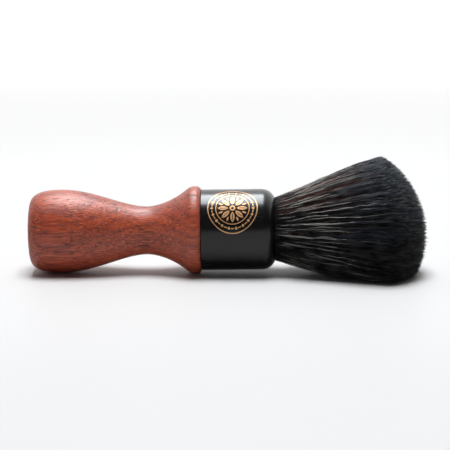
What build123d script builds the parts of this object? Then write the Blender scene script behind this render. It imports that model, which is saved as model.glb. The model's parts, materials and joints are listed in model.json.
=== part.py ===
"""A neck duster brush, lying on its side as it is put down on a counter.

A turned hardwood handle carries a black metal collar, and a dense fan of soft fibres is set in
the collar's mouth. The handle's bulge and its rim touch the counter, so the brush's own axis
rises a little towards the fibres. The row frame has +X along the brush towards the fibre tips
and +Z up, with its origin on the counter under the middle of the brush.

Lengths along the brush are counted from the butt, the flat end of the handle that the brush
stands on when it is upright. All sizes are in millimetres.
"""

import os
from math import asin, atan2, cos, radians, sin, sqrt, tan

from build123d import *

# --- Driving dimensions -------------------------------------------------------------------

# Handle outline: stations along the brush, and the radius at each
butt_flat_radius = 12.5
bulge_at, bulge_radius = 14.2, 19.0
waist_at, waist_radius = 53.4, 10.95
rim_at, rim_radius, rim_land = 75.0, 19.9, 0.9
shoulder_at = 78.1  # where the handle meets the collar

# How far each curve of the outline runs straight on from its station before it bends
butt_pull, bulge_rear_pull = 6.0, 5.5
bulge_front_pull, waist_rear_pull = 15.0, 11.0
waist_front_pull, rim_foot_pull = 4.0, 8.5

# Rounds on either side of the rim, and how steeply the neck runs up into it
rim_rear_round, rim_rear_slope = 5.2, 40.0
rim_front_round = 2.27

# Spigot that centres the collar on the handle, and the blind bore for the insert
spigot_radius, spigot_length, spigot_chamfer = 15.0, 12.0, 0.6
insert_bore_radius, insert_bore_depth, drill_point_angle = 5.05, 20.0, 118.0

# Both threads rise to a crest, keep it and fall again over these shares of their pitch
crest_start, crest_end, next_root = 0.4, 0.5, 0.9

# Threaded insert, pressed flush into the spigot's end, and its screwdriver slot
insert_length, insert_body_radius, insert_crest_radius = 12.4, 4.4, 5.0
insert_recess, insert_lead_in, insert_pitch, insert_barbs = 0.2, 0.8, 2.0, 5
insert_slot_width, insert_slot_depth = 1.2, 1.5

# Joining stud, M6, with a hexagon socket in its front end
stud_radius, stud_root_radius, stud_pitch = 3.0, 2.45, 1.0
stud_lead_in, stud_bore_radius = 0.8, 3.06
stud_rear_gap, stud_front_gap = 1.4, 0.2
stud_socket_width, stud_socket_depth = 3.0, 3.0

# Collar
collar_radius, collar_length = 18.4, 33.6
lip_round, lip_edge_round, collar_rear_chamfer = 6.7, 0.35, 0.3
rear_socket_radius, rear_socket_depth = 15.1, 12.4
web_thickness = 4.0
mouth_radius = 14.15

# Fibre knot: the adhesive bed, the resin plug, the tie and the fan of fibres
bed_thickness, bed_wall_height = 0.3, 11.0
plug_radius, plug_length = 13.85, 12.0
tie_turns, tie_cord_radius, tie_turn_spacing, tie_clearance = 4, 0.3, 0.55, 0.03
fibre_root_radius, fibre_mouth_radius = 13.15, 13.9
fan_edge_at, fan_edge_radius, fan_edge_round = 160.1, 32.6, 3.0
overall_length = 180.7

# Printed seal: two rings, a border of beads and dashes between them, and a rosette of leaves
seal_at = 92.7
seal_height_angle = 41.1  # above the horizontal, on the -Y side
seal_ink_thickness = 0.06
outer_ring_radius, outer_ring_width = 11.3, 0.38
inner_ring_radius, inner_ring_width = 7.7, 0.34
bead_count, bead_radius = 18, 0.58
dash_length, dash_width = 1.4, 0.42
petal_count, petal_root, petal_tip, petal_half_width = 8, 1.9, 6.7, 1.0
petal_vein_length, petal_vein_width = 2.8, 0.32
sepal_root, sepal_tip, sepal_half_width = 4.6, 6.8, 0.42
hub_radius, hub_hole_radius = 1.35, 0.6

# --- Derived places -----------------------------------------------------------------------

tilt = atan2(rim_radius - bulge_radius, rim_at - bulge_at)
axis_height = bulge_radius * cos(tilt) - bulge_at * sin(tilt)

spigot_end = shoulder_at + spigot_length
collar_end = shoulder_at + collar_length
web_at = shoulder_at + rear_socket_depth
socket_floor = web_at + web_thickness
plug_at = socket_floor + bed_thickness
plug_end = plug_at + plug_length
tie_at = plug_end + tie_cord_radius
tie_end = tie_at + (tie_turns - 1) * tie_turn_spacing + tie_cord_radius

# The fibre tips lie on a ball whose centre is on the brush's axis
fan_depth = overall_length - fan_edge_at
tip_ball_radius = (fan_edge_radius**2 + fan_depth**2) / (2 * fan_depth)
tip_ball_at = overall_length - tip_ball_radius

# The butt's upper edge reaches furthest back, and the ball of tips furthest forward
rear_reach = butt_flat_radius * sin(tilt)
front_reach = tip_ball_at * cos(tilt) + tip_ball_radius
middle = (front_reach - rear_reach) / 2

# In this plane local x runs along the brush from the butt, and local y up from its axis
brush = Plane(origin=(-middle, 0, axis_height), x_dir=(cos(tilt), 0, sin(tilt)), z_dir=(0, -1, 0))
brush_axis = Axis(brush.origin, brush.x_dir)


def cross_section(at):
    """The plane across the brush at a station, facing the fibre tips."""
    return Plane(origin=brush.from_local_coords((at, 0)), x_dir=(0, -1, 0), z_dir=brush.x_dir)


os.makedirs("parts", exist_ok=True)


def save(part, name):
    """Labels a finished piece and writes its STEP file."""
    part.label = name
    export_step(part, f"parts/{name}.step")
    print(f"{name}: {len(part.solids())} solid(s), {part.volume:.0f} mm3")


# --- Handle, turned from one piece of hardwood ----------------------------------------------

rim_turn = radians(rim_rear_slope)
rim_foot_at = rim_at - rim_rear_round * sin(rim_turn)
rim_foot_radius = rim_radius - rim_rear_round * (1 - cos(rim_turn))
rim_front_drop = rim_front_round - sqrt(
    rim_front_round**2 - (shoulder_at - rim_at - rim_land) ** 2
)
drill_point_length = insert_bore_radius / tan(radians(drill_point_angle / 2))

with BuildPart() as handle:
    with BuildSketch(brush):
        with BuildLine():
            Line((0, 0), (0, butt_flat_radius))
            Bezier(
                (0, butt_flat_radius),
                (0, butt_flat_radius + butt_pull),
                (bulge_at - bulge_rear_pull, bulge_radius),
                (bulge_at, bulge_radius),
            )
            Bezier(
                (bulge_at, bulge_radius),
                (bulge_at + bulge_front_pull, bulge_radius),
                (waist_at - waist_rear_pull, waist_radius),
                (waist_at, waist_radius),
            )
            Bezier(
                (waist_at, waist_radius),
                (waist_at + waist_front_pull, waist_radius),
                (
                    rim_foot_at - rim_foot_pull * cos(rim_turn),
                    rim_foot_radius - rim_foot_pull * sin(rim_turn),
                ),
                (rim_foot_at, rim_foot_radius),
            )
            ThreePointArc(
                (rim_foot_at, rim_foot_radius),
                (
                    rim_at - rim_rear_round * sin(rim_turn / 2),
                    rim_radius - rim_rear_round * (1 - cos(rim_turn / 2)),
                ),
                (rim_at, rim_radius),
            )
            Line((rim_at, rim_radius), (rim_at + rim_land, rim_radius))
            TangentArc(
                (rim_at + rim_land, rim_radius),
                (shoulder_at, rim_radius - rim_front_drop),
                tangent=(1, 0),
            )
            Polyline(
                (shoulder_at, rim_radius - rim_front_drop),
                (shoulder_at, spigot_radius),
                (spigot_end - spigot_chamfer, spigot_radius),
                (spigot_end, spigot_radius - spigot_chamfer),
                (spigot_end, 0),
                (0, 0),
            )
        make_face()
    revolve(axis=brush_axis)
    with BuildSketch(brush):
        with BuildLine():
            Polyline(
                (spigot_end, 0),
                (spigot_end, insert_bore_radius),
                (spigot_end - insert_bore_depth, insert_bore_radius),
                (spigot_end - insert_bore_depth - drill_point_length, 0),
                close=True,
            )
        make_face()
    revolve(axis=brush_axis, mode=Mode.SUBTRACT)

save(handle.part, "handle")

# --- Threaded insert in the handle's bore ----------------------------------------------------

insert_end = spigot_end - insert_recess
insert_start = insert_end - insert_length

with BuildPart() as threaded_insert:
    with BuildSketch(brush):
        insert_outline = [(insert_end, insert_body_radius)]
        for barb in range(insert_barbs):
            foot_at = insert_end - insert_lead_in - barb * insert_pitch
            insert_outline += [
                (foot_at, insert_body_radius),
                (foot_at - crest_start * insert_pitch, insert_crest_radius),
                (foot_at - crest_end * insert_pitch, insert_crest_radius),
                (foot_at - next_root * insert_pitch, insert_body_radius),
            ]
        insert_outline += [
            (insert_start, insert_body_radius),
            (insert_start, stud_bore_radius),
            (insert_end, stud_bore_radius),
        ]
        with BuildLine():
            Polyline(*insert_outline, close=True)
        make_face()
    revolve(axis=brush_axis)
    with BuildSketch(cross_section(insert_end)):
        Rectangle(2 * rim_radius, insert_slot_width)
    extrude(amount=-insert_slot_depth, mode=Mode.SUBTRACT)

save(threaded_insert.part, "threaded_insert")

# --- Joining stud, from the insert through the collar's web ----------------------------------

stud_start = insert_start + stud_rear_gap
stud_end = socket_floor - stud_front_gap
stud_threads = int((stud_end - stud_start - 2 * stud_lead_in) / stud_pitch)

with BuildPart() as joining_stud:
    with BuildSketch(brush):
        stud_outline = [(stud_start, 0), (stud_start, stud_root_radius)]
        for thread in range(stud_threads):
            foot_at = stud_start + stud_lead_in + thread * stud_pitch
            stud_outline += [
                (foot_at, stud_root_radius),
                (foot_at + crest_start * stud_pitch, stud_radius),
                (foot_at + crest_end * stud_pitch, stud_radius),
                (foot_at + next_root * stud_pitch, stud_root_radius),
            ]
        stud_outline += [(stud_end, stud_root_radius), (stud_end, 0)]
        with BuildLine():
            Polyline(*stud_outline, close=True)
        make_face()
    revolve(axis=brush_axis)
    with BuildSketch(cross_section(stud_end)):
        RegularPolygon(radius=stud_socket_width / sqrt(3), side_count=6)
    extrude(amount=-stud_socket_depth, mode=Mode.SUBTRACT)

save(joining_stud.part, "joining_stud")

# --- Collar: a socket behind for the spigot, a web, and a socket in front for the knot -------

# The lip's round stops where it meets the mouth, a little short of a quarter turn
lip_centre_radius = collar_radius - lip_round
lip_reach = sqrt(lip_round**2 - (mouth_radius - lip_centre_radius) ** 2)
lip_centre_at = collar_end - lip_reach
half_lip_turn = asin(lip_reach / lip_round) / 2

with BuildPart() as collar:
    with BuildSketch(brush) as collar_section:
        with BuildLine():
            Line((shoulder_at, collar_radius), (lip_centre_at, collar_radius))
            ThreePointArc(
                (lip_centre_at, collar_radius),
                (
                    lip_centre_at + lip_round * sin(half_lip_turn),
                    lip_centre_radius + lip_round * cos(half_lip_turn),
                ),
                (collar_end, mouth_radius),
            )
            Polyline(
                (collar_end, mouth_radius),
                (socket_floor, mouth_radius),
                (socket_floor, stud_bore_radius),
                (web_at, stud_bore_radius),
                (web_at, rear_socket_radius),
                (shoulder_at, rear_socket_radius),
                (shoulder_at, collar_radius),
            )
        make_face()
        by_distance = collar_section.vertices().sort_by_distance((collar_end, mouth_radius))
        fillet(by_distance[0], radius=lip_edge_round)
        by_distance = collar_section.vertices().sort_by_distance((shoulder_at, collar_radius))
        chamfer(by_distance[0], length=collar_rear_chamfer)
    revolve(axis=brush_axis)

save(collar.part, "collar")

# --- Adhesive bed under and around the knot's plug -------------------------------------------

with BuildPart() as knot_adhesive:
    with BuildSketch(brush):
        with BuildLine():
            Polyline(
                (socket_floor, 0),
                (socket_floor, mouth_radius),
                (plug_at + bed_wall_height, mouth_radius),
                (plug_at + bed_wall_height, plug_radius),
                (plug_at, plug_radius),
                (plug_at, 0),
                close=True,
            )
        make_face()
    revolve(axis=brush_axis)

save(knot_adhesive.part, "knot_adhesive")

# --- Resin plug that the fibre roots are cast into ---------------------------------------------

with BuildPart() as knot_plug:
    with BuildSketch(cross_section(plug_at)):
        Circle(plug_radius)
    extrude(amount=plug_length)

save(knot_plug.part, "knot_plug")

# --- Tie: turns of cord drawn tight round the fibres, in front of the plug ---------------------

with BuildPart() as knot_tie:
    with BuildSketch(brush):
        for turn in range(tie_turns):
            turn_centre = (
                tie_at + turn * tie_turn_spacing,
                fibre_root_radius + tie_clearance + tie_cord_radius,
            )
            with Locations(turn_centre):
                Circle(tie_cord_radius)
    revolve(axis=brush_axis)

save(knot_tie.part, "knot_tie")

# --- Fibres: one closed form for the whole fan, flattened where it rests on the counter -------

tip_ball_turn = atan2(fan_edge_radius, fan_edge_at - tip_ball_at)

with BuildPart() as fibre_fan:
    with BuildSketch(brush) as fan_section:
        with BuildLine():
            Polyline(
                (overall_length, 0),
                (plug_end, 0),
                (plug_end, fibre_root_radius),
                (tie_end, fibre_root_radius),
                (collar_end, fibre_mouth_radius),
                (fan_edge_at, fan_edge_radius),
            )
            ThreePointArc(
                (fan_edge_at, fan_edge_radius),
                (
                    tip_ball_at + tip_ball_radius * cos(tip_ball_turn / 2),
                    tip_ball_radius * sin(tip_ball_turn / 2),
                ),
                (overall_length, 0),
            )
        make_face()
        by_distance = fan_section.vertices().sort_by_distance((fan_edge_at, fan_edge_radius))
        fillet(by_distance[0], radius=fan_edge_round)
    revolve(axis=brush_axis)
    split(bisect_by=Plane.XY, keep=Keep.TOP)

save(fibre_fan.part, "fibre_fan")

# --- Seal: a flat design wrapped onto the collar as a film of gold ink --------------------------

seal_turn = radians(seal_height_angle)
seal_plane = Plane(
    origin=brush.from_local_coords((seal_at, 0)),
    x_dir=brush.x_dir,
    z_dir=brush.y_dir * sin(seal_turn) - Vector(0, 1, 0) * cos(seal_turn),
)
border_radius = (outer_ring_radius - outer_ring_width + inner_ring_radius) / 2


def leaf(root, tip, half_width):
    """A flat leaf that points along x, from its root to its tip."""
    middle_at = (root + tip) / 2
    with BuildSketch() as outline:
        with BuildLine():
            ThreePointArc((root, 0), (middle_at, half_width), (tip, 0))
            ThreePointArc((tip, 0), (middle_at, -half_width), (root, 0))
        make_face()
    return outline.sketch


with BuildSketch() as petal:
    add(leaf(petal_root, petal_tip, petal_half_width))
    with Locations(((petal_root + petal_tip) / 2, 0)):
        Rectangle(petal_vein_length, petal_vein_width, mode=Mode.SUBTRACT)
sepal = leaf(sepal_root, sepal_tip, sepal_half_width)

with BuildPart() as gold_seal:
    with BuildSketch(seal_plane):
        Circle(outer_ring_radius)
        Circle(outer_ring_radius - outer_ring_width, mode=Mode.SUBTRACT)
        Circle(inner_ring_radius)
        Circle(inner_ring_radius - inner_ring_width, mode=Mode.SUBTRACT)
        with PolarLocations(border_radius, bead_count):
            Circle(bead_radius)
        with PolarLocations(border_radius, bead_count, start_angle=180 / bead_count):
            Rectangle(dash_width, dash_length)
        with PolarLocations(0, petal_count):
            add(petal.sketch)
        with PolarLocations(0, petal_count, start_angle=180 / petal_count):
            add(sepal)
        Circle(hub_radius)
        Circle(hub_hole_radius, mode=Mode.SUBTRACT)
    extrude(amount=collar_radius + 2 * seal_ink_thickness)
    with BuildSketch(brush):
        with Locations((seal_at, collar_radius + seal_ink_thickness / 2)):
            Rectangle(2 * collar_length, seal_ink_thickness)
    revolve(axis=brush_axis, mode=Mode.INTERSECT)

save(gold_seal.part, "gold_seal")
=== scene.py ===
"""Looks for the neck duster brush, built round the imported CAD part. All lengths are in metres.

The handle, collar, seal and the hidden hardware are the CAD nodes with procedural materials. The
plain solid that stands for the fibres is replaced by separate fibres, each a thin tube that leaves
the collar's mouth, fans out, and bends along the counter where it meets it.
"""

import json
import math

import bpy
import numpy as np
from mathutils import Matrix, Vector
from mathutils.kdtree import KDTree


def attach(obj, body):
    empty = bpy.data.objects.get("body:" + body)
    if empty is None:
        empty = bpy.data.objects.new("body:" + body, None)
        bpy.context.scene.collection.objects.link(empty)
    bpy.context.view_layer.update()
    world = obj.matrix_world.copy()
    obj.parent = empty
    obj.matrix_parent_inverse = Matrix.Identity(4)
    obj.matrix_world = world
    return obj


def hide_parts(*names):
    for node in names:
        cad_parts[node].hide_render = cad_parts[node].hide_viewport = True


MM = 0.001

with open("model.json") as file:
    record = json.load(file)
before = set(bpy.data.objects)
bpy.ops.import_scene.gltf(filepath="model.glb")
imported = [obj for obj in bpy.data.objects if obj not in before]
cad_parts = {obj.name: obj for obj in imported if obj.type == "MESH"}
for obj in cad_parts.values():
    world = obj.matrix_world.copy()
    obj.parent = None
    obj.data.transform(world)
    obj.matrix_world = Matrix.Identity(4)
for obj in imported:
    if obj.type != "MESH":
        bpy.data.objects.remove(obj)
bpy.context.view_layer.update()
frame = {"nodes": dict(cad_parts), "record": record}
nodes = frame["nodes"]

# --- The brush's own axis, from the butt to the fibre tips ----------------------------------

butt = next(m for m in frame["record"]["mounts"] if m["name"] == "butt_face")
BUTT = np.array(butt["pos_m"], float)
ALONG = -np.array(butt["axis"], float)
ALONG /= np.linalg.norm(ALONG)
ACROSS = np.array([0.0, 1.0, 0.0])
UP = np.cross(ALONG, ACROSS)


def mesh_points(obj):
    """An object's vertices as an array of points."""
    flat = np.empty(len(obj.data.vertices) * 3)
    obj.data.vertices.foreach_get("co", flat)
    return flat.reshape(-1, 3)


def far_end(node):
    """How far along the brush, from the butt, a CAD node reaches."""
    return ((mesh_points(nodes[node]) - BUTT) @ ALONG).max()


mouth_at = far_end("collar")
plug_end = far_end("knot_plug")
apex_at = far_end("fibre_fan")

# --- Camera, lights and floor ----------------------------------------------------------------

CAMERA_DISTANCE = 0.913
CAMERA_ELEVATION = math.radians(9.5)
CAMERA_AZIMUTH = math.radians(1.5)
CAMERA_SENSOR, CAMERA_LENS = 36.0, 160.0
CAMERA_CLIP = 0.05, 40.0
AIM = Vector((-0.00145, 0.0, 0.0222))

FLOOR_RADIUS, FLOOR_CORNERS = 9.0, 64

# The counter's colour beside the brush, further off behind it and in front of it, and where each
# starts and is full
FLOOR_NEAR, FLOOR_FAR = (0.650, 0.660, 0.674), (0.720, 0.730, 0.744)
FLOOR_FRONT = (0.615, 0.625, 0.640)
FLOOR_FROM, FLOOR_TO = 0.07, 0.40
BEHIND_FROM, BEHIND_TO = -0.02, 0.08
FRONT_FROM, FRONT_TO = -0.05, -0.22

# Further off still it turns into a glowing sweep
SWEEP_GLOW = 1.25
SWEEP_NEAR, SWEEP_FAR = 0.22, 1.6

# The studio's walls: how bright they are low down, above and in front, and behind the brush, where
# they show more than they light
HORIZON_FROM, HORIZON_TO = 0.03, 0.13
HORIZON_GLOW, ROOM_GLOW = 0.97, 0.05
BACKDROP_SEEN, BACKDROP_LIGHT = 1.3, 0.36
WALL_COLOR, WALL_LIGHT_COLOR = (0.985, 0.992, 1.0), (1.0, 0.91, 0.82)

# Two softboxes hang level over the brush: the first gives the light and the shadows, and the
# second, lower and further back, only the highlights
SOFTBOX_WIDTH = 0.66
LIGHTING_HEIGHT, LIGHTING_NEAR_EDGE, LIGHTING_FAR_EDGE = 1.50, -0.52, 0.50
LIGHTING_RADIANCE = 13.9
HIGHLIGHT_HEIGHT, HIGHLIGHT_NEAR_EDGE, HIGHLIGHT_FAR_EDGE = 1.45, -0.07, 1.05
HIGHLIGHT_RADIANCE = 16.0
LIGHTING_COLOR, HIGHLIGHT_COLOR = (1.0, 1.0, 1.0), (0.90, 0.96, 1.0)


def make_camera():
    """The photographer's view: nearly square to the brush, from a little above the counter."""
    data = bpy.data.cameras.new("camera")
    data.sensor_width = CAMERA_SENSOR
    data.lens = CAMERA_LENS
    data.clip_start, data.clip_end = CAMERA_CLIP
    camera = bpy.data.objects.new("camera", data)
    bpy.context.scene.collection.objects.link(camera)
    back = Vector(
        (
            math.sin(CAMERA_AZIMUTH) * math.cos(CAMERA_ELEVATION),
            -math.cos(CAMERA_AZIMUTH) * math.cos(CAMERA_ELEVATION),
            math.sin(CAMERA_ELEVATION),
        )
    )
    camera.location = AIM + back * CAMERA_DISTANCE
    camera.rotation_mode = "QUATERNION"
    camera.rotation_quaternion = (-back).to_track_quat("-Z", "Y")
    bpy.context.scene.camera = camera


def make_softbox(name, height, near_edge, far_edge, radiance, color):
    """A large softbox overhead, level, between two edges across the brush."""
    depth = far_edge - near_edge
    data = bpy.data.lights.new(name, "AREA")
    data.shape = "RECTANGLE"
    data.size, data.size_y = SOFTBOX_WIDTH, depth
    data.energy = radiance * math.pi * SOFTBOX_WIDTH * depth
    data.color = color
    light = bpy.data.objects.new(name, data)
    light.location = (0.0, near_edge + depth / 2, height)
    bpy.context.scene.collection.objects.link(light)
    return light


def make_lights():
    """The softbox that lights the brush, and the one that it reflects."""
    lighting = make_softbox(
        "lighting",
        LIGHTING_HEIGHT,
        LIGHTING_NEAR_EDGE,
        LIGHTING_FAR_EDGE,
        LIGHTING_RADIANCE,
        LIGHTING_COLOR,
    )
    lighting.visible_glossy = False
    highlight = make_softbox(
        "highlight",
        HIGHLIGHT_HEIGHT,
        HIGHLIGHT_NEAR_EDGE,
        HIGHLIGHT_FAR_EDGE,
        HIGHLIGHT_RADIANCE,
        HIGHLIGHT_COLOR,
    )
    highlight.visible_diffuse = False


class Nodes:
    """A short way to write a node tree: each method adds a node and returns its output."""

    def __init__(self, tree):
        self.tree = tree

    def add(self, kind, inputs=None, **settings):
        node = self.tree.nodes.new(kind)
        for name, value in settings.items():
            setattr(node, name, value)
        for name, value in (inputs or {}).items():
            socket = node.inputs[name]
            if isinstance(value, bpy.types.NodeSocket):
                self.tree.links.new(value, socket)
            else:
                socket.default_value = value
        return node

    def math(self, operation, *values):
        inputs = dict(enumerate(values))
        return self.add("ShaderNodeMath", inputs, operation=operation).outputs[0]

    def ramp(self, value, low, high, to_low=0.0, to_high=1.0, smooth=True):
        """Maps value from low..high to to_low..to_high, held at the ends."""
        inputs = {
            "Value": value,
            "From Min": low,
            "From Max": high,
            "To Min": to_low,
            "To Max": to_high,
        }
        kind = "SMOOTHSTEP" if smooth else "LINEAR"
        return self.add("ShaderNodeMapRange", inputs, interpolation_type=kind).outputs[0]

    def mix(self, factor, first, second):
        """Mixes two colours, each an output or three numbers."""
        node = self.add("ShaderNodeMix", data_type="RGBA")
        for index, value in ((0, factor), (6, first), (7, second)):
            if isinstance(value, bpy.types.NodeSocket):
                self.tree.links.new(value, node.inputs[index])
            elif index == 0:
                node.inputs[index].default_value = value
            else:
                node.inputs[index].default_value = (*value, 1.0)
        return node.outputs[2]

    def noise(self, vector, scale, detail=2.0, roughness=0.5):
        inputs = {"Vector": vector, "Scale": scale, "Detail": detail, "Roughness": roughness}
        return self.add("ShaderNodeTexNoise", inputs).outputs["Fac"]

    def mapped(self, vector, scale=(1.0, 1.0, 1.0), rotation=(0.0, 0.0, 0.0)):
        inputs = {"Vector": vector, "Rotation": rotation, "Scale": scale}
        return self.add("ShaderNodeMapping", inputs).outputs[0]

    def grain(self, vector, along, across, detail=2.0, roughness=0.5):
        """Noise that is drawn out along X, with so many waves a metre along and across it."""
        return self.noise(self.mapped(vector, (along, across, across)), 1.0, detail, roughness)

    def bump(self, height, distance, strength=1.0):
        inputs = {"Height": height, "Distance": distance, "Strength": strength}
        return self.add("ShaderNodeBump", inputs).outputs[0]


def new_material(name, **sockets):
    """A Principled material with these socket values, its Nodes helper and its shader node."""
    material = bpy.data.materials.new(name)
    material.use_nodes = True
    material.node_tree.nodes.clear()
    tree = Nodes(material.node_tree)
    shader = tree.add("ShaderNodeBsdfPrincipled")
    for socket, value in sockets.items():
        shader.inputs[socket].default_value = value
    output = tree.add("ShaderNodeOutputMaterial")
    material.node_tree.links.new(shader.outputs[0], output.inputs["Surface"])
    return material, tree, shader


def wire(tree, shader, **links):
    """Links outputs to the shader's sockets, whose names have underscores for spaces here."""
    for socket, value in links.items():
        tree.tree.links.new(value, shader.inputs[socket.replace("_", " ")])


def make_world():
    """A pale studio: white low down and behind the brush, dim above and in front.

    The walls behind are dimmed, and a little warm, for the light that they give.
    """
    world = bpy.data.worlds.new("studio")
    world.use_nodes = True
    world.node_tree.nodes.clear()
    tree = Nodes(world.node_tree)
    direction = tree.add("ShaderNodeTexCoord").outputs["Generated"]
    split = tree.add("ShaderNodeSeparateXYZ", {"Vector": direction})
    behind = tree.ramp(split.outputs["Y"], -0.35, 0.65)
    low = tree.ramp(split.outputs["Z"], HORIZON_FROM, HORIZON_TO, 1.0, 0.0)
    diffuse_ray = tree.add("ShaderNodeLightPath").outputs["Is Diffuse Ray"]
    backdrop = tree.ramp(diffuse_ray, 0.0, 1.0, BACKDROP_SEEN, BACKDROP_LIGHT, smooth=False)
    upper = tree.math("ADD", ROOM_GLOW, tree.math("MULTIPLY", behind, backdrop))
    near_horizon = tree.math("MULTIPLY", low, HORIZON_GLOW)
    above = tree.math("MULTIPLY", tree.math("SUBTRACT", 1.0, low), upper)
    strength = tree.math("ADD", near_horizon, above)
    color = tree.mix(diffuse_ray, WALL_COLOR, WALL_LIGHT_COLOR)
    background = tree.add("ShaderNodeBackground", {"Strength": strength, "Color": color})
    output = tree.add("ShaderNodeOutputWorld")
    world.node_tree.links.new(background.outputs[0], output.inputs["Surface"])
    bpy.context.scene.world = world


def make_floor():
    """A white counter that fades into a bright sweep some way from the brush on every side."""
    mesh = bpy.data.meshes.new("floor")
    turns = [2 * math.pi * k / FLOOR_CORNERS for k in range(FLOOR_CORNERS)]
    ring = [(FLOOR_RADIUS * math.cos(a), FLOOR_RADIUS * math.sin(a), 0.0) for a in turns]
    mesh.from_pydata(ring, [], [range(FLOOR_CORNERS)])
    floor = bpy.data.objects.new("floor", mesh)
    bpy.context.scene.collection.objects.link(floor)
    sockets = {"Roughness": 0.55, "Specular IOR Level": 0.2}
    material, tree, shader = new_material("counter", **sockets)
    place = tree.add("ShaderNodeTexCoord").outputs["Object"]
    away = tree.add("ShaderNodeVectorMath", {0: place}, operation="LENGTH").outputs["Value"]
    split = tree.add("ShaderNodeSeparateXYZ", {"Vector": place})
    behind = tree.ramp(split.outputs["Y"], BEHIND_FROM, BEHIND_TO)
    paler = tree.math("MULTIPLY", tree.ramp(away, FLOOR_FROM, FLOOR_TO, smooth=False), behind)
    tone = tree.mix(paler, FLOOR_NEAR, FLOOR_FAR)
    in_front = tree.ramp(split.outputs["Y"], FRONT_FROM, FRONT_TO)
    tone = tree.mix(in_front, tone, FLOOR_FRONT)
    wire(tree, shader, Base_Color=tone)
    fade = tree.ramp(away, SWEEP_NEAR, SWEEP_FAR)
    glow = tree.add("ShaderNodeEmission", {"Strength": SWEEP_GLOW})
    blend = tree.add("ShaderNodeMixShader", {0: fade})
    output = next(n for n in material.node_tree.nodes if n.type == "OUTPUT_MATERIAL")
    material.node_tree.links.new(shader.outputs[0], blend.inputs[1])
    material.node_tree.links.new(glow.outputs[0], blend.inputs[2])
    material.node_tree.links.new(blend.outputs[0], output.inputs["Surface"])
    mesh.materials.append(material)


# --- Materials -------------------------------------------------------------------------------

WOOD_SPECULAR, COATING_SPECULAR = 0.54, 0.385

# The wood's two ground colours, and what lies on them
WOOD_LIGHT, WOOD_DARK = (0.425, 0.074, 0.027), (0.295, 0.041, 0.016)
WOOD_BAND, WOOD_LINE = (0.16, 0.027, 0.016), (0.125, 0.023, 0.016)
WOOD_PALE_STREAK, WOOD_DARK_STREAK = (0.72, 0.160, 0.068), (0.125, 0.021, 0.013)
WOOD_PORE = (0.045, 0.009, 0.007)

# Growth bands are rings round a pith line that runs well below and behind the handle, and the
# grain slants a little to it
PITH_Y, PITH_Z = 18.0 * MM, -35.0 * MM
RING_SPACING, RING_WANDER = 3.6 * MM, 4.5 * MM
GRAIN_SLANT = (0.0, 0.05, 0.03)
WOOD_RELIEF = 0.12 * MM

COATING_BLACK, COATING_WORN = (0.0030, 0.0030, 0.0033), (0.0065, 0.0065, 0.0070)
GOLD_PALE, GOLD_DEEP, GOLD_SPECK = (0.74, 0.42, 0.20), (0.62, 0.33, 0.15), (0.34, 0.17, 0.075)
CORD_PALE, CORD_DARK = (0.52, 0.46, 0.36), (0.30, 0.25, 0.18)
FINE_RELIEF, BUBBLE_RELIEF, TWIST_RELIEF = 0.004 * MM, 0.03 * MM, 0.05 * MM


def wood_material():
    """Oiled red-brown hardwood: growth bands, fine streaks and short dark pores along the grain."""
    sockets = {"Specular IOR Level": WOOD_SPECULAR}
    material, tree, shader = new_material("oiled_hardwood", **sockets)
    place = tree.add("ShaderNodeTexCoord").outputs["Object"]
    wander = tree.grain(place, 14.0, 60.0)
    wood = tree.mapped(place, rotation=GRAIN_SLANT)
    split = tree.add("ShaderNodeSeparateXYZ", {"Vector": wood})

    from_pith_y = tree.math("POWER", tree.math("ADD", split.outputs["Y"], -PITH_Y), 2.0)
    from_pith_z = tree.math("POWER", tree.math("ADD", split.outputs["Z"], -PITH_Z), 2.0)
    ring = tree.math("SQRT", tree.math("ADD", from_pith_y, from_pith_z))
    ring = tree.math("ADD", ring, tree.math("MULTIPLY", wander, RING_WANDER))
    ring = tree.math("SINE", tree.math("MULTIPLY", ring, 2 * math.pi / RING_SPACING))
    band = tree.ramp(ring, -0.2, 1.0)

    broad = tree.grain(wood, 16.0, 110.0, detail=3.0)
    line = tree.grain(wood, 36.0, 950.0, detail=3.0, roughness=0.6)
    streak = tree.grain(wood, 110.0, 1750.0, detail=4.0, roughness=0.6)
    pore_field = tree.grain(wood, 150.0, 2700.0, detail=1.5)
    pore_patch = tree.grain(wood, 60.0, 300.0)
    pore_edge = tree.ramp(pore_patch, 0.3, 0.7, 0.66, 0.55, smooth=False)
    pore = tree.ramp(tree.math("SUBTRACT", pore_field, pore_edge), 0.0, 0.06)

    base = tree.mix(tree.ramp(broad, 0.3, 0.7), WOOD_LIGHT, WOOD_DARK)
    base = tree.mix(tree.math("MULTIPLY", band, 0.42), base, WOOD_BAND)
    base = tree.mix(tree.ramp(line, 0.52, 0.68, 0.0, 0.80), base, WOOD_LINE)
    base = tree.mix(tree.ramp(streak, 0.50, 0.70, 0.0, 0.55), base, WOOD_PALE_STREAK)
    base = tree.mix(tree.ramp(streak, 0.47, 0.30, 0.0, 0.68), base, WOOD_DARK_STREAK)
    base = tree.mix(tree.math("MULTIPLY", pore, 0.85), base, WOOD_PORE)

    gloss = tree.ramp(streak, 0.3, 0.7, 0.48, 0.35, smooth=False)
    gloss = tree.math("ADD", gloss, tree.math("MULTIPLY", pore, 0.25))
    height = tree.math("SUBTRACT", streak, tree.math("MULTIPLY", pore, 0.8))
    normal = tree.bump(height, WOOD_RELIEF)
    wire(tree, shader, Base_Color=base, Roughness=gloss, Normal=normal)
    return material


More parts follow.
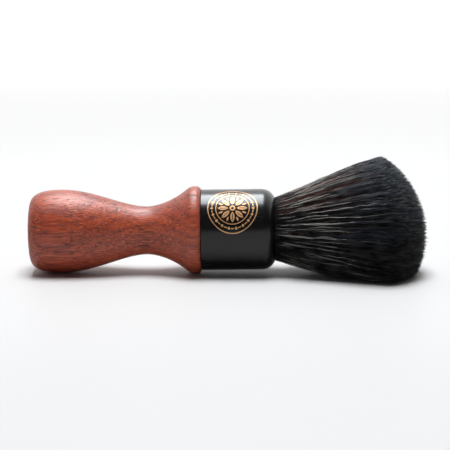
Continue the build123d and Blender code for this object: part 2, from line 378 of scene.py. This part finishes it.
def collar_material():
    """Satin black coating with a very fine texture and faint handling marks."""
    sockets = {"Specular IOR Level": COATING_SPECULAR}
    material, tree, shader = new_material("satin_black_coating", **sockets)
    place = tree.add("ShaderNodeTexCoord").outputs["Object"]
    texture = tree.noise(place, 5200.0, detail=2.0)
    wear = tree.noise(place, 140.0, detail=4.0, roughness=0.6)
    rub = tree.grain(place, 90.0, 700.0, detail=3.0)
    base = tree.mix(tree.ramp(wear, 0.4, 0.75), COATING_BLACK, COATING_WORN)
    gloss = tree.ramp(wear, 0.3, 0.7, 0.21, 0.27, smooth=False)
    gloss = tree.math("ADD", gloss, tree.ramp(rub, 0.5, 0.8, 0.0, 0.05))
    normal = tree.bump(texture, FINE_RELIEF, strength=0.6)
    wire(tree, shader, Base_Color=base, Roughness=gloss, Normal=normal)
    return material


def ink_material():
    """Gold ink, a little uneven where it was pressed on."""
    material, tree, shader = new_material("gold_ink", Metallic=0.35)
    place = tree.add("ShaderNodeTexCoord").outputs["Object"]
    speck = tree.noise(place, 3200.0, detail=3.0)
    patch = tree.noise(place, 500.0, detail=2.0)
    base = tree.mix(tree.ramp(patch, 0.3, 0.7), GOLD_PALE, GOLD_DEEP)
    base = tree.mix(tree.ramp(speck, 0.60, 0.75, 0.0, 0.5), base, GOLD_SPECK)
    gloss = tree.ramp(speck, 0.3, 0.7, 0.32, 0.46, smooth=False)
    wire(tree, shader, Base_Color=base, Roughness=gloss, Normal=tree.bump(speck, FINE_RELIEF))
    return material


def turned_metal(name, tone, dark_tone):
    """Bare turned metal: fine rings from the tool, and a slightly dull surface."""
    material, tree, shader = new_material(name, Metallic=1.0)
    place = tree.add("ShaderNodeTexCoord").outputs["Object"]
    rings = tree.grain(place, 9000.0, 120.0)
    tarnish = tree.noise(place, 400.0, detail=4.0)
    base = tree.mix(tree.ramp(tarnish, 0.4, 0.8), tone, dark_tone)
    gloss = tree.ramp(rings, 0.3, 0.7, 0.20, 0.42, smooth=False)
    wire(tree, shader, Base_Color=base, Roughness=gloss, Normal=tree.bump(rings, FINE_RELIEF))
    return material


def cast_material(name, tone, dark_tone, roughness):
    """Cast resin or cured glue: cloudy, with small bubbles and a slightly uneven surface."""
    material, tree, shader = new_material(name)
    place = tree.add("ShaderNodeTexCoord").outputs["Object"]
    cloud = tree.noise(place, 260.0, detail=4.0)
    bubble = tree.noise(place, 2400.0, detail=1.0)
    base = tree.mix(tree.ramp(cloud, 0.3, 0.7), tone, dark_tone)
    gloss = tree.ramp(bubble, 0.3, 0.7, roughness - 0.08, roughness + 0.08, smooth=False)
    wire(tree, shader, Base_Color=base, Roughness=gloss, Normal=tree.bump(bubble, BUBBLE_RELIEF))
    return material


def cord_material():
    """Waxed cord: a fine twist across its length."""
    material, tree, shader = new_material("waxed_cord", Roughness=0.7)
    place = tree.add("ShaderNodeTexCoord").outputs["Object"]
    twist = tree.noise(tree.mapped(place, (3000.0, 3000.0, 900.0)), 1.0)
    base = tree.mix(tree.ramp(twist, 0.3, 0.7), CORD_PALE, CORD_DARK)
    wire(tree, shader, Base_Color=base, Normal=tree.bump(twist, TWIST_RELIEF))
    return material


def fibre_material(name, tone, roughness):
    """One tone of synthetic hair, which shines more in some patches than in others."""
    material, tree, shader = new_material(name, Roughness=roughness, IOR=1.45)
    shader.inputs["Base Color"].default_value = (*tone, 1.0)
    place = tree.add("ShaderNodeTexCoord").outputs["Object"]
    patch = tree.grain(place, 110.0, 420.0)
    wire(tree, shader, Specular_IOR_Level=tree.ramp(patch, 0.35, 0.70, 0.15, 0.95))
    return material


# --- Fibres ----------------------------------------------------------------------------------

SEED = 461
FIBRES, LOCKS, TUFTS = 18000, 900, 2300
STRANDS, STRAND_FIBRES = 130, 2
FIBRE_STEPS, LOOSE_STEPS, FIBRE_SIDES = 16, 40, 3
FIBRE_PIECES = 10
FIBRE_RADIUS, LOOSE_RADIUS, TIP_RADIUS = 0.088 * MM, 0.084 * MM, 0.035 * MM
THINNEST, THICKEST, TAPER_SHARE = 0.8, 1.15, 0.05

# Fibres leave the knot in line with the brush and flare within a few millimetres, the outer ones
# most. Their ends curl back in a little, and are trimmed to a ball
ROOT_RADIUS = 13.0 * MM
FLARE, FLARE_LENGTH, FLARE_POWER = math.radians(22.3), 3.2 * MM, 1.05
TIP_CURL, CURL_FROM, CURL_POWER = 1.5 * MM, 0.7, 1.6
CURL_ALLOWANCE = 1.8 * MM
BALL_RADIUS, BALL_DROP = 43.5 * MM, 2.7 * MM

# How softly the fibres bend along the counter, and how soon they are free of the collar
COUNTER_SOFTNESS, COLLAR_HOLD = 2.4 * MM, 3.5 * MM

# Places in the knot are points of the unit disc, crowded a little to its edge. The first scatter
# is every fibre's, and the others are a stray's and a lock's
ROOT_CROWDING, LOCK_CROWDING, TUFT_CROWDING = 0.44, 0.46, 0.47
AIM_SCATTER, STRAY_SCATTER, LOCK_SCATTER = 0.012, 0.018, 0.022
LOCK_REACH = 1.015
TUFT_RADIUS = 1 / math.sqrt(TUFTS)
STRAY_SHARE = 0.10

# How far tufts reach beyond the ball and how much that differs, how much shorter their outer
# fibres are, how much each fibre falls short, how worn the fan's edge is, below and above, and how
# far strays stand out
TUFT_LENGTH, TUFT_UNEVENNESS, TUFT_POINT = 0.40 * MM, 0.24 * MM, 0.5 * MM
TIP_UNEVENNESS = 0.35 * MM
EDGE_FROM, EDGE_WEAR = 0.90, 1.6 * MM
WEAR_BELOW, WEAR_ABOVE = 2.0, 1.1
STRAY_LENGTH, STRAY_LIMIT = 0.4 * MM, 1.2 * MM

# Locks hold their fibres most a third of the way along, and tufts hold them at the tips
LOCK_HOLD, LOCK_AT, LOCK_STRETCH = 0.9, 0.36, 0.30
TUFT_HOLD, TUFT_FROM = 0.55, 0.72

# The height of each wave, and its shortest and longest length
LOCK_WAVE = 0.17 * MM, 15 * MM, 38 * MM
FIBRE_WAVE = 0.10 * MM, 9 * MM, 26 * MM
STRAND_WAVE = 0.26 * MM, 16 * MM, 36 * MM
STRAND_CRIMP = 0.11 * MM, 4 * MM, 10 * MM
LOOSE_WAVE = 0.05 * MM, 7 * MM, 20 * MM
WAVE_START = 12 * MM

# The strands that carry the painted highlights: how closely they crowd to the fan's top, where the
# light falls, how much strands and their fibres stray in angle, and how far out they start and aim
STRAND_CROWDING = 0.25
STRAND_ANGLE, STRAND_TURN = 0.03, 0.07
LOOSE_ANGLE, LOOSE_TURN, LOOSE_REACH = 0.006, 0.004, 0.003
STRAND_DEPTH, STRAND_REACH = (1.0, 1.03), (0.985, 1.020)
LOOSE_UNEVENNESS = 1.0 * MM

# How far out of the mouth fibres are painted black, as painted shade from the collar
MOUTH_SHADE = 3.0 * MM

# Each tone's name, colour, roughness and how common it is in the body of the fan
TONES = (
    ("fibre_black", (0.0030, 0.0030, 0.0034), 0.30, 0.66),
    ("fibre_soot", (0.0080, 0.0076, 0.0074), 0.32, 0.24),
    ("fibre_brown", (0.1150, 0.0480, 0.0330), 0.34, 0.04),
    # Grey is scattered at random in the body, and on the loose strands is the dimmer part of the
    # painted highlights
    ("fibre_grey_and_sheen", (0.0900, 0.0900, 0.0890), 0.30, 0.06),
    # A pale tone that is a painted highlight, standing in for the softbox's glints on the fibres
    ("fibre_painted_glint", (0.3900, 0.3820, 0.3660), 0.34, 0.0),
    # A lighter blue-black tip, partly a tint and partly painted light where the top tips catch it
    ("fibre_lit_blue_tip", (0.0260, 0.0325, 0.0450), 0.50, 0.0),
    ("fibre_black_tip", (0.0030, 0.0028, 0.0030), 0.55, 0.0),
)
BLACK, SOOT, BROWN, GREY_AND_SHEEN, PAINTED_GLINT, LIT_BLUE_TIP, BLACK_TIP = range(len(TONES))

# How often fibres share their lock's tone and their tuft's, turn brown above or black below, and
# have a blue tip, and where the tip's tone starts. Black below is painted shade, and the lighter
# blue tips, more common higher up, are partly painted light
LOCK_TONE_SHARE, TUFT_TONE_SHARE = 0.65, 0.65
BROWN_SHARE, BROWN_FROM, BROWN_OVER = 0.62, 0.25, 0.55
BELOW_SHADE_SHARE, SIDE_OVER = 0.75, 0.6
BLUE_SHARE, BLUE_RISE = 0.24, 0.52
TIP_STARTS = 0.45, 0.95

# Where a strand's painted glints, pale tone that stands in for highlights, start and end, how often
# they come, and how they fade into grey and soot
GLINT_STARTS, GLINT_ENDS, GLINT_TURNS = (0.0, 0.30), (0.40, 0.85), (0.6, 2.2)
# Painted light and shade: glints come more often above and less often below, and below the grey of
# their dimmer part turns to soot
GLINT_LEVEL, GLINT_BELOW, GLINT_ABOVE = -0.2, 0.7, -0.30
GREY_LEVEL, GREY_BELOW, GREY_TAIL = -0.6, 0.9, 0.06


def shares(steps):
    """Share of a fibre's length at each of its rings, closer near the root and the tip."""
    even = np.linspace(0.0, 1.0, steps + 1)
    return even - 0.5 * np.sin(2 * math.pi * even) / (2 * math.pi)


def middles(values):
    """The value half way along each stretch, from those at its two ends."""
    return (values[..., 1:] + values[..., :-1]) / 2


def nearest(points, centres):
    """For each point of a flat disc, the index of the nearest centre."""
    tree = KDTree(len(centres))
    for index, (x, y) in enumerate(centres):
        tree.insert((x, y, 0.0), index)
    tree.balance()
    return np.array([tree.find((x, y, 0.0))[1] for x, y in points])


def disc(random, count, power):
    """Random points in the unit disc. A power under a half crowds them to the edge."""
    radius = random.random(count) ** power
    angle = random.random(count) * 2 * math.pi
    return np.stack([radius * np.cos(angle), radius * np.sin(angle)], axis=1)


def flared_way(aim):
    """How each fibre runs once it has flared: its part along the brush, and its two across."""
    spread = np.linalg.norm(aim, axis=1)
    slope = FLARE * spread**FLARE_POWER
    return np.cos(slope), aim / spread[:, None] * np.sin(slope)[:, None]


def fan_out(root, aim, run):
    """Points at these runs along fibres that flare from the knot, in the brush's own axes.

    A root is a place in the knot and an aim the direction, both as points of the unit disc.
    """
    along, sideways = flared_way(aim)
    curl = np.clip((run / run[:, -1:] - CURL_FROM) / (1.0 - CURL_FROM), 0.0, 1.0) ** CURL_POWER
    flared = run - FLARE_LENGTH * (1.0 - np.exp(-run / FLARE_LENGTH))
    flared = flared - TIP_CURL / math.sin(FLARE) * curl
    station = plug_end + run * along[:, None]
    across = root[:, :1] * ROOT_RADIUS + flared * sideways[:, :1]
    up = root[:, 1:] * ROOT_RADIUS + flared * sideways[:, 1:]
    return np.stack([station, across, up], axis=2)


def trimmed_length(root, aim):
    """How long a fibre is from its root to the ball that the tips are cut to."""
    along, sideways = flared_way(aim)
    way = np.stack([along, *sideways.T], axis=1)
    start = np.stack([np.full(len(root), plug_end), *(root * ROOT_RADIUS).T], axis=1)
    to_ball = start - np.array([apex_at - BALL_RADIUS, 0.0, -BALL_DROP])
    half_b = (to_ball * way).sum(axis=1)
    to_cut = -half_b + np.sqrt(half_b**2 - (to_ball**2).sum(axis=1) + BALL_RADIUS**2)
    return to_cut + CURL_ALLOWANCE * np.linalg.norm(aim, axis=1) ** 3.0


def waves(random, group, run, height, shortest, longest):
    """Sideways waves, the same for all fibres of a group, that start beyond the root."""
    total = group.max() + 1
    length = random.uniform(shortest, longest, (total, 1, 2))[group]
    phase = random.uniform(0.0, 2 * math.pi, (total, 1, 2))[group]
    height = np.abs(random.normal(0.0, height, (total, 1, 2)))[group]
    away = np.minimum(run / WAVE_START, 1.0)[:, :, None]
    return height * away * np.sin(2 * math.pi * run[:, :, None] / length + phase)


def to_row(points):
    """From the brush's own axes to the row frame."""
    return (
        BUTT
        + points[:, :, :1] * ALONG
        + points[:, :, 1:2] * ACROSS
        + points[:, :, 2:3] * UP
    )


def knot_fibres(random):
    """The body of the fan: each fibre's points in the row frame, its lock, its tuft and its aim.

    On their way fibres gather into the lock whose centre is nearest, and at their tips into small
    pointed tufts, which strays stand out from.
    """
    root = disc(random, FIBRES, ROOT_CROWDING)
    aim = root + random.normal(0.0, AIM_SCATTER, (FIBRES, 2))
    stray = random.random(FIBRES) < STRAY_SHARE
    aim += np.where(stray[:, None], random.normal(0.0, STRAY_SCATTER, (FIBRES, 2)), 0.0)
    lock_centre = disc(random, LOCKS, LOCK_CROWDING)
    lock_aim = lock_centre * LOCK_REACH + random.normal(0.0, LOCK_SCATTER, (LOCKS, 2))
    lock = nearest(root, lock_centre)
    tuft_centre = disc(random, TUFTS, TUFT_CROWDING)
    tuft = nearest(aim, tuft_centre)
    off_centre = np.linalg.norm(aim - tuft_centre[tuft], axis=1) / TUFT_RADIUS

    length = trimmed_length(root, aim)
    length += random.normal(TUFT_LENGTH, TUFT_UNEVENNESS, TUFTS)[tuft]
    length -= TUFT_POINT * np.minimum(off_centre, 2.0)
    length -= random.exponential(TIP_UNEVENNESS, FIBRES)
    edge = np.clip((np.linalg.norm(aim, axis=1) - EDGE_FROM) / (1.0 - EDGE_FROM), 0.0, 1.0)
    wear = edge * np.where(aim[:, 1] < 0.0, WEAR_BELOW, WEAR_ABOVE)
    length -= wear * random.exponential(EDGE_WEAR, FIBRES)
    stands_out = np.minimum(random.exponential(STRAY_LENGTH, FIBRES), STRAY_LIMIT)
    length += np.where(stray, stands_out, 0.0)
    share = shares(FIBRE_STEPS)
    run = length[:, None] * share[None, :]

    points = fan_out(root, aim, run)
    lock_path = fan_out(lock_centre[lock], lock_aim[lock], run)
    tuft_path = fan_out(tuft_centre[tuft], tuft_centre[tuft], run)
    hold = LOCK_HOLD * random.random(FIBRES) ** 0.6
    gathered = hold[:, None] * np.exp(-(((share - LOCK_AT) / LOCK_STRETCH) ** 2))[None, :]
    points += (lock_path - points) * gathered[:, :, None]
    near_tip = np.clip((share - TUFT_FROM) / (1.0 - TUFT_FROM), 0.0, 1.0)
    pointed = np.where(stray, 0.0, TUFT_HOLD)[:, None] * near_tip
    points += (tuft_path - points) * pointed[:, :, None]
    points[:, :, 1:] += waves(random, lock, run, *LOCK_WAVE)
    points[:, :, 1:] += waves(random, np.arange(FIBRES), run, *FIBRE_WAVE)
    return lay_on_counter(to_row(points)), lock, tuft, aim


def loose_fibres(random):
    """Crimped strands on the outside of the fan, most on its upper half, with painted highlights.

    Gives each fibre's points in the row frame, its strand and its aim.
    """
    strand = np.repeat(np.arange(STRANDS), STRAND_FIBRES)
    count = len(strand)
    round_fan = np.linspace(-1.0, 1.0, STRANDS, endpoint=False)
    angle = math.pi * (0.5 + round_fan * np.abs(round_fan) ** STRAND_CROWDING)
    angle += random.normal(0.0, STRAND_ANGLE, STRANDS)
    angle = angle[strand] + random.normal(0.0, LOOSE_ANGLE, count)
    turn = angle + random.normal(0.0, STRAND_TURN, STRANDS)[strand]
    turn += random.normal(0.0, LOOSE_TURN, count)
    depth = random.uniform(*STRAND_DEPTH, STRANDS)[strand]
    reach = random.uniform(*STRAND_REACH, STRANDS)[strand]
    reach += random.normal(0.0, LOOSE_REACH, count)
    root = np.stack([np.cos(angle), np.sin(angle)], axis=1) * depth[:, None]
    aim = np.stack([np.cos(turn), np.sin(turn)], axis=1) * reach[:, None]
    length = trimmed_length(root, aim) - random.exponential(LOOSE_UNEVENNESS, count)
    run = length[:, None] * shares(LOOSE_STEPS)[None, :]
    points = fan_out(root, aim, run)
    points[:, :, 1:] += waves(random, strand, run, *STRAND_WAVE)
    points[:, :, 1:] += waves(random, strand, run, *STRAND_CRIMP)
    points[:, :, 1:] += waves(random, np.arange(count), run, *LOOSE_WAVE)
    return lay_on_counter(to_row(points)), strand, aim


def lay_on_counter(points):
    """Bends fibres that would pass through the counter so that they run along it instead."""
    soft = COUNTER_SOFTNESS
    rest = FIBRE_RADIUS
    steps = np.linalg.norm(np.diff(points, axis=1), axis=2, keepdims=True)
    gone = np.concatenate([np.zeros_like(steps[:, :1]), np.cumsum(steps, axis=1)], axis=1)
    bent = points.copy()
    bent[:, :, 2] = rest + soft * np.logaddexp(0.0, (points[:, :, 2] - rest) / soft)
    start_lift = bent[:, :1, 2] - points[:, :1, 2]
    bent[:, :, 2] -= start_lift * np.exp(-gone[:, :, 0] / COLLAR_HOLD)
    ways = np.diff(bent, axis=1)
    ways /= np.linalg.norm(ways, axis=2, keepdims=True)
    laid = points.copy()
    laid[:, 1:] = laid[:, :1] + np.cumsum(ways * steps, axis=1)
    laid[:, :, 2] = np.maximum(laid[:, :, 2], rest)
    return laid


def knot_tones(random, lock, tuft, aim):
    """The tone of each stretch of each fibre of the body: its own, and then its tip's."""
    count = len(lock)
    odds = np.array([tone[3] for tone in TONES])
    odds /= odds.sum()
    lock_tone = random.choice(len(TONES), lock.max() + 1, p=odds)
    own_tone = random.choice(len(TONES), count, p=odds)
    body_tone = np.where(random.random(count) < LOCK_TONE_SHARE, lock_tone[lock], own_tone)
    upper = np.clip((aim[:, 1] - BROWN_FROM) / BROWN_OVER, 0.0, 1.0)
    lower = np.clip(-aim[:, 1] / SIDE_OVER, 0.0, 1.0)
    body_tone = np.where(random.random(count) < BROWN_SHARE * upper, BROWN, body_tone)
    # Painted shade: fibres on the fan's underside are made black more often
    body_tone = np.where(random.random(count) < BELOW_SHADE_SHARE * lower, BLACK, body_tone)
    tuft_draw, own_draw = random.random(TUFTS)[tuft], random.random(count)
    draw = np.where(random.random(count) < TUFT_TONE_SHARE, tuft_draw, own_draw)
    # Partly painted light: the lighter blue tip is more common the higher a fibre aims
    blue = draw < BLUE_SHARE + BLUE_RISE * np.clip(aim[:, 1], -1.0, 1.0)
    tip_tone = np.where(blue, LIT_BLUE_TIP, BLACK_TIP)
    change = random.uniform(*TIP_STARTS, count)
    in_body = middles(shares(FIBRE_STEPS))[None, :] < change[:, None]
    return np.where(in_body, body_tone[:, None], tip_tone[:, None])


def loose_tones(random, strand, aim):
    """Each loose fibre's tone by stretch: painted glints that come and go, then a dark tip."""
    count = len(strand)
    half_way = middles(shares(LOOSE_STEPS))[None, :]
    turns = random.uniform(*GLINT_TURNS, STRANDS)[strand, None] * half_way
    phase = random.random(STRANDS)[strand] + random.normal(0.0, 0.05, count)
    wave = np.sin(2 * math.pi * (turns + phase[:, None]))
    upper = np.clip(aim[:, 1] / SIDE_OVER, 0.0, 1.0)[:, None]
    lower = np.clip(-aim[:, 1] / SIDE_OVER, 0.0, 1.0)[:, None]
    # Painted highlights: pale glints with grey as their dimmer part, more of them above, and soot
    # below as painted shade
    dim = np.where(wave > GREY_LEVEL + GREY_BELOW * lower, GREY_AND_SHEEN, SOOT)
    painted_glints = wave > GLINT_LEVEL + GLINT_BELOW * lower + GLINT_ABOVE * upper
    start = random.uniform(*GLINT_STARTS, STRANDS)[strand] + random.normal(0.0, 0.02, count)
    tone = np.where(half_way < start[:, None], SOOT, np.where(painted_glints, PAINTED_GLINT, dim))
    end = random.uniform(*GLINT_ENDS, STRANDS)[strand] + random.normal(0.0, 0.05, count)
    fade = np.where(half_way < end[:, None] + GREY_TAIL, GREY_AND_SHEEN, LIT_BLUE_TIP)
    return np.where(half_way < end[:, None], tone, fade)


def in_the_mouth(random, points):
    """Which stretches of each fibre are inside the collar or only just out of it."""
    shaded_to = mouth_at + random.uniform(0.0, MOUTH_SHADE, len(points))
    return middles((points - BUTT) @ ALONG) < shaded_to[:, None]


def tubes(points, radii):
    """Vertices, wall faces and first vertices of one thin tube along each path."""
    count, rings = points.shape[:2]
    way = np.empty_like(points)
    way[:, 1:-1] = points[:, 2:] - points[:, :-2]
    way[:, 0] = points[:, 1] - points[:, 0]
    way[:, -1] = points[:, -1] - points[:, -2]
    way /= np.linalg.norm(way, axis=2, keepdims=True)
    side = np.cross(way, np.array([0.0, 0.0, 1.0]))
    side /= np.linalg.norm(side, axis=2, keepdims=True)
    other = np.cross(side, way)
    turn = 2 * math.pi * np.arange(FIBRE_SIDES) / FIBRE_SIDES
    ring = (
        side[:, :, None, :] * np.cos(turn)[None, None, :, None]
        + other[:, :, None, :] * np.sin(turn)[None, None, :, None]
    )
    verts = points[:, :, None, :] + ring * radii[:, :, None, None]
    base = (np.arange(count) * rings * FIBRE_SIDES)[:, None, None]
    level = (np.arange(rings - 1) * FIBRE_SIDES)[None, :, None]
    here = np.arange(FIBRE_SIDES)[None, None, :]
    there = (here + 1) % FIBRE_SIDES
    low, high = base + level, base + level + FIBRE_SIDES
    walls = np.stack([low + here, low + there, high + there, high + here], axis=3)
    return verts.reshape(-1, 3), walls.reshape(-1, 4), base[:, 0, 0]


def fibre_piece(name, points, radii, tones, materials):
    """One Blender object that holds a group of fibres, closed at both ends."""
    rings = points.shape[1]
    verts, walls, base = tubes(points, radii)
    near_cap = base[:, None] + np.arange(FIBRE_SIDES)[::-1][None, :]
    far_cap = base[:, None] + (rings - 1) * FIBRE_SIDES + np.arange(FIBRE_SIDES)[None, :]
    caps = np.concatenate([near_cap, far_cap])
    mesh = bpy.data.meshes.new(name)
    mesh.vertices.add(len(verts))
    mesh.vertices.foreach_set("co", verts.ravel())
    corners = np.concatenate([walls.ravel(), caps.ravel()])
    mesh.loops.add(len(corners))
    mesh.loops.foreach_set("vertex_index", corners)
    sizes = np.concatenate([np.full(len(walls), 4), np.full(len(caps), FIBRE_SIDES)])
    mesh.polygons.add(len(sizes))
    mesh.polygons.foreach_set("loop_start", np.concatenate([[0], np.cumsum(sizes)[:-1]]))
    wall_tones = np.repeat(tones.ravel(), FIBRE_SIDES)
    face_tones = np.concatenate([wall_tones, tones[:, 0], tones[:, -1]])
    mesh.polygons.foreach_set("material_index", face_tones)
    mesh.polygons.foreach_set("use_smooth", np.ones(len(sizes), bool))
    mesh.update(calc_edges=True)
    for material in materials:
        mesh.materials.append(material)
    piece = bpy.data.objects.new(name, mesh)
    bpy.context.scene.collection.objects.link(piece)
    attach(piece, "root")
    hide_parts("fibre_fan")


def tapered(random, points, radius):
    """Each fibre's radius at each of its rings, constant up to a short taper at the tip."""
    thickness = radius * random.uniform(THINNEST, THICKEST, len(points))
    taper = np.clip((1.0 - shares(points.shape[1] - 1)) / TAPER_SHARE, 0.0, 1.0)
    return TIP_RADIUS + (thickness - TIP_RADIUS)[:, None] * taper[None, :]


def make_fibres():
    """The whole fan, in pieces small enough to export one by one, the lowest tips first."""
    random = np.random.default_rng(SEED)
    materials = [fibre_material(name, tone, rough) for name, tone, rough, _ in TONES]
    points, lock, tuft, aim = knot_fibres(random)
    radii = tapered(random, points, FIBRE_RADIUS)
    tones = knot_tones(random, lock, tuft, aim)
    # Painted shade: stretches in the collar and just out of its mouth are made black
    tones = np.where(in_the_mouth(random, points), BLACK, tones)
    groups = np.array_split(np.argsort(points[:, -1, 2]), FIBRE_PIECES)
    for number, group in enumerate(groups, 1):
        fibre_piece(f"fibres_{number}", points[group], radii[group], tones[group], materials)
    points, strand, aim = loose_fibres(random)
    radii = tapered(random, points, LOOSE_RADIUS)
    tones = loose_tones(random, strand, aim)
    # Painted shade: stretches in the collar and just out of its mouth are made black
    tones = np.where(in_the_mouth(random, points), BLACK, tones)
    fibre_piece("fibres_loose", points, radii, tones, materials)


# --- The scene -------------------------------------------------------------------------------


def paint(node, material):
    """Gives a CAD node its finished material."""
    for slot in nodes[node].material_slots:
        slot.material = material


bpy.context.scene.view_settings.view_transform = "Standard"
make_camera()
make_lights()
make_world()
make_floor()
paint("handle", wood_material())
paint("collar", collar_material())
paint("gold_seal", ink_material())
paint("threaded_insert", turned_metal("turned_brass", (0.72, 0.50, 0.20), (0.40, 0.25, 0.09)))
paint("joining_stud", turned_metal("plated_steel", (0.60, 0.60, 0.62), (0.38, 0.38, 0.40)))
paint("knot_plug", cast_material("cast_resin", (0.055, 0.040, 0.025), (0.025, 0.018, 0.012), 0.3))
paint("knot_adhesive", cast_material("cured_epoxy", (0.60, 0.56, 0.46), (0.45, 0.40, 0.30), 0.4))
paint("knot_tie", cord_material())
make_fibres()
